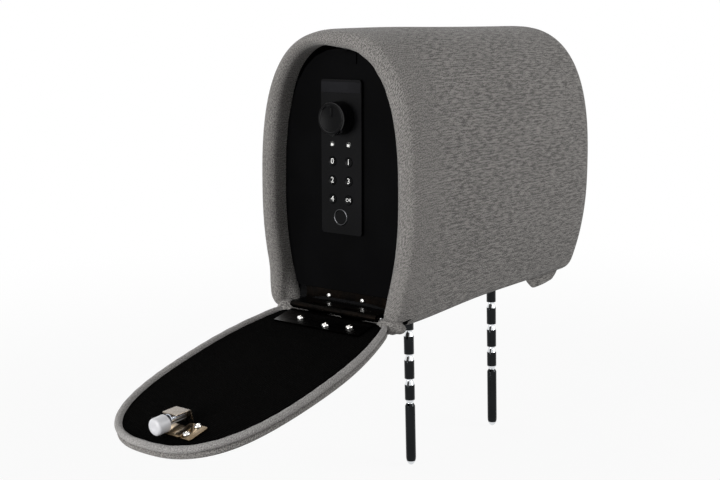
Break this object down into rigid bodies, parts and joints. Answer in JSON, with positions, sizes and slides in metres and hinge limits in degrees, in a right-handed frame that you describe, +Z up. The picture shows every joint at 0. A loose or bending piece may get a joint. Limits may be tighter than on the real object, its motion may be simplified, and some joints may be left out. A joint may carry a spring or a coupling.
{
  "type": "portable car safe",
  "caption": "Vehicle headrest with a steel safe inside: padded lid hinged at one end, coded lock panel with knob, sliding drawer and two notched seat posts.",
  "frame": {"origin": "midway between the axes of the two posts, in the plane of the headrest's underside", "axes": "+X along the headrest, away from its lid; +Z up; -Y toward the broad face nearest the posts"},
  "size_m": [0.5777, 0.183, 0.4273],
  "materials": {
    "cover_cloth": "woven, matt",
    "loop_liner": "looped, matt",
    "foam": "open cell",
    "black_steel": "black powder coat",
    "black_plastic": "satin black",
    "gloss_black": "gloss black",
    "post_chrome": "polished",
    "nickel": "warm nickel plate",
    "plain_steel": "zinc plate",
    "white_nylon": "white nylon",
    "circuit": "green board",
    "light_lens": "clear lens"
  },
  "bodies": {
    "headrest": {"fabric_cover": "cover_cloth", "foam_core": "foam", "safe_shell": "black_steel", "rail_fixed_left": "plain_steel", "rail_fixed_right": "plain_steel", "post_plate": "plain_steel", "post_near": "post_chrome", "post_far": "post_chrome", "post_bolt_near": "plain_steel", "post_bolt_far": "plain_steel", "hinge_body_leaf": "plain_steel", "hinge_pin": "plain_steel", "hinge_screw_left": "plain_steel", "hinge_screw_right": "plain_steel", "underside_flap": "cover_cloth"},
    "drawer": {"drawer_front": "black_steel", "drawer_tray": "black_steel", "tray_liner": "loop_liner", "rail_moving_left": "plain_steel", "rail_moving_right": "plain_steel", "lock_housing": "black_plastic", "strip_window": "gloss_black", "circuit_board": "circuit", "battery_box": "black_plastic", "battery_cover": "black_plastic", "battery_1": "plain_steel", "battery_2": "plain_steel", "battery_3": "plain_steel", "battery_4": "plain_steel", "fingerprint_ring": "post_chrome", "fingerprint_sensor": "gloss_black", "light_locked": "light_lens", "light_open": "light_lens", "bolt_guide": "plain_steel", "solenoid": "plain_steel", "latch_keeper": "black_steel"},
    "knob": {"knob": "black_plastic", "spindle": "plain_steel", "cam": "plain_steel"},
    "bolt": {"bolt_bar": "plain_steel"},
    "lock_pin": {"solenoid_pin": "plain_steel"},
    "lid": {"lid_cover": "cover_cloth", "lid_foam": "foam", "lid_board": "black_plastic", "lid_liner": "loop_liner", "hinge_lid_leaf": "plain_steel", "lid_screw_1": "post_chrome", "lid_screw_2": "post_chrome", "lid_screw_3": "post_chrome", "latch_bracket": "nickel", "latch_screw_1": "post_chrome", "latch_screw_2": "post_chrome"},
    "plunger": {"latch_plunger": "white_nylon"},
    "key_0": {"key_0": "black_plastic"},
    "key_1": {"key_1": "black_plastic"},
    "key_2": {"key_2": "black_plastic"},
    "key_3": {"key_3": "black_plastic"},
    "key_4": {"key_4": "black_plastic"},
    "key_ok": {"key_ok": "black_plastic"}
  },
  "joints": [
    {"name": "lid_hinge", "type": "hinge", "parent": "headrest", "child": "lid", "pos_m": [-0.1623, 0.0221, 0.0029], "axis": [0, -1, 0], "range_deg": [-103.7, 0]},
    {"name": "drawer_slide", "type": "slide", "parent": "headrest", "child": "drawer", "axis": [-1, 0, 0], "range_m": [0, 0.18]},
    {"name": "knob_turn", "type": "hinge", "parent": "drawer", "child": "knob", "pos_m": [-0.1631, 0.0252, 0.1804], "axis": [1, 0, 0], "range_deg": [0, 90]},
    {"name": "bolt_slide", "type": "slide", "parent": "drawer", "child": "bolt", "axis": [0, -1, 0], "range_m": [0, 0.0113]},
    {"name": "pin_slide", "type": "slide", "parent": "drawer", "child": "lock_pin", "axis": [0, 0, 1], "range_m": [0, 0.004], "stiffness_N_per_m": 40, "springref_m": -0.002},
    {"name": "plunger_press", "type": "slide", "parent": "lid", "child": "plunger", "axis": [0.9979, 0, 0.0645], "range_m": [0, 0.002], "stiffness_N_per_m": 400, "springref_m": -0.001},
    {"name": "key_0_press", "type": "slide", "parent": "drawer", "child": "key_0", "axis": [1, 0, 0], "range_m": [0, 0.001], "stiffness_N_per_m": 300, "springref_m": -0.001},
    {"name": "key_1_press", "type": "slide", "parent": "drawer", "child": "key_1", "axis": [1, 0, 0], "range_m": [0, 0.001], "stiffness_N_per_m": 300, "springref_m": -0.001},
    {"name": "key_2_press", "type": "slide", "parent": "drawer", "child": "key_2", "axis": [1, 0, 0], "range_m": [0, 0.001], "stiffness_N_per_m": 300, "springref_m": -0.001},
    {"name": "key_3_press", "type": "slide", "parent": "drawer", "child": "key_3", "axis": [1, 0, 0], "range_m": [0, 0.001], "stiffness_N_per_m": 300, "springref_m": -0.001},
    {"name": "key_4_press", "type": "slide", "parent": "drawer", "child": "key_4", "axis": [1, 0, 0], "range_m": [0, 0.001], "stiffness_N_per_m": 300, "springref_m": -0.001},
    {"name": "key_ok_press", "type": "slide", "parent": "drawer", "child": "key_ok", "axis": [1, 0, 0], "range_m": [0, 0.001], "stiffness_N_per_m": 300, "springref_m": -0.001}
  ],
  "couplings": [
    {"joint": "knob_turn", "follows": "bolt_slide", "rad_per_m": 138.89}
  ]
}
